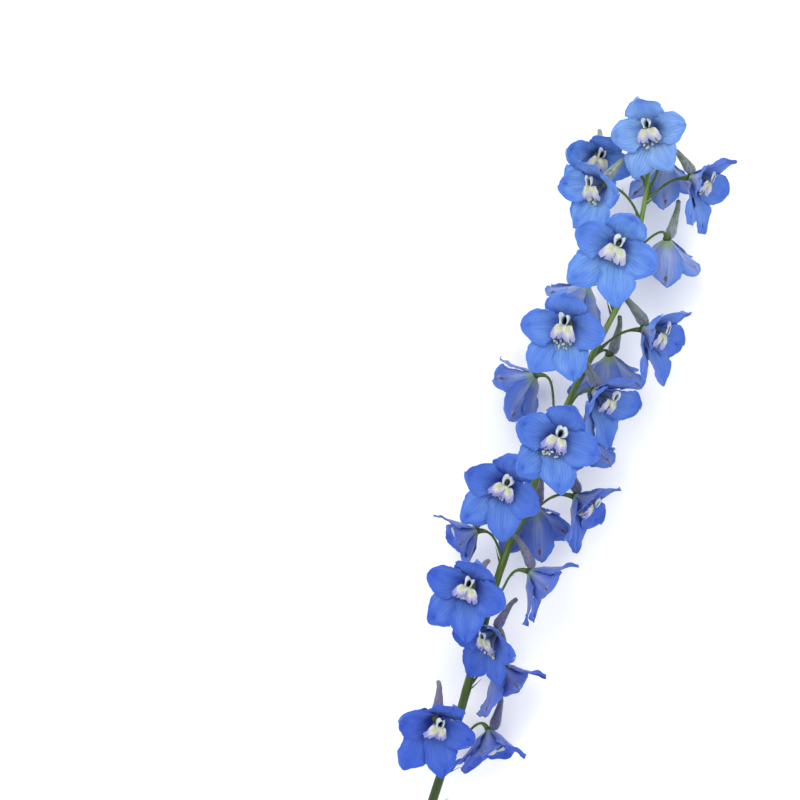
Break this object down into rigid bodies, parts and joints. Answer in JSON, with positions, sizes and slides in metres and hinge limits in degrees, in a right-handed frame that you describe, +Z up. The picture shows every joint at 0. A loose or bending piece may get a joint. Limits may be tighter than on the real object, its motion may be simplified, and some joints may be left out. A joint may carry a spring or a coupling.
{
  "type": "delphinium flower spike",
  "caption": "Cut delphinium spike lying flat: a green stem with arching flower stalks, spurred sky-blue florets with wavy sepals, and pale eyes in their middles.",
  "frame": {"origin": "the middle of the spike's box at the surface that it lies on", "axes": "+Y along the stem from its cut end to the spike's tip, +Z up from the surface, +X to the right seen from above with the tip ahead"},
  "size_m": [0.1084, 0.5754, 0.0895],
  "materials": {
    "stem": "fresh green plant stem, faintly ribbed, satin",
    "sepal": "soft matt sky-blue sepals with fine darker veins, grey-green felted spur",
    "eye": "soft matt white petals with a pale yellow patch and lilac edges"
  },
  "bodies": {
    "root": {"stem": "stem", "calyx_01": "sepal", "calyx_02": "sepal", "calyx_03": "sepal", "calyx_04": "sepal", "calyx_05": "sepal", "calyx_06": "sepal", "calyx_07": "sepal", "calyx_08": "sepal", "calyx_09": "sepal", "calyx_10": "sepal", "calyx_11": "sepal", "calyx_12": "sepal", "calyx_13": "sepal", "calyx_14": "sepal", "calyx_15": "sepal", "calyx_16": "sepal", "calyx_17": "sepal", "calyx_18": "sepal", "calyx_19": "sepal", "calyx_20": "sepal", "calyx_21": "sepal", "calyx_22": "sepal", "calyx_23": "sepal", "calyx_24": "sepal", "calyx_25": "sepal", "eye_01": "eye", "eye_02": "eye", "eye_03": "eye", "eye_04": "eye", "eye_05": "eye", "eye_06": "eye", "eye_07": "eye", "eye_08": "eye", "eye_09": "eye", "eye_10": "eye", "eye_11": "eye", "eye_12": "eye", "eye_13": "eye", "eye_14": "eye", "eye_15": "eye", "eye_16": "eye", "eye_17": "eye", "eye_18": "eye", "eye_19": "eye", "eye_20": "eye", "eye_21": "eye", "eye_22": "eye", "eye_23": "eye", "eye_24": "eye", "eye_25": "eye"}
  },
  "joints": []
}
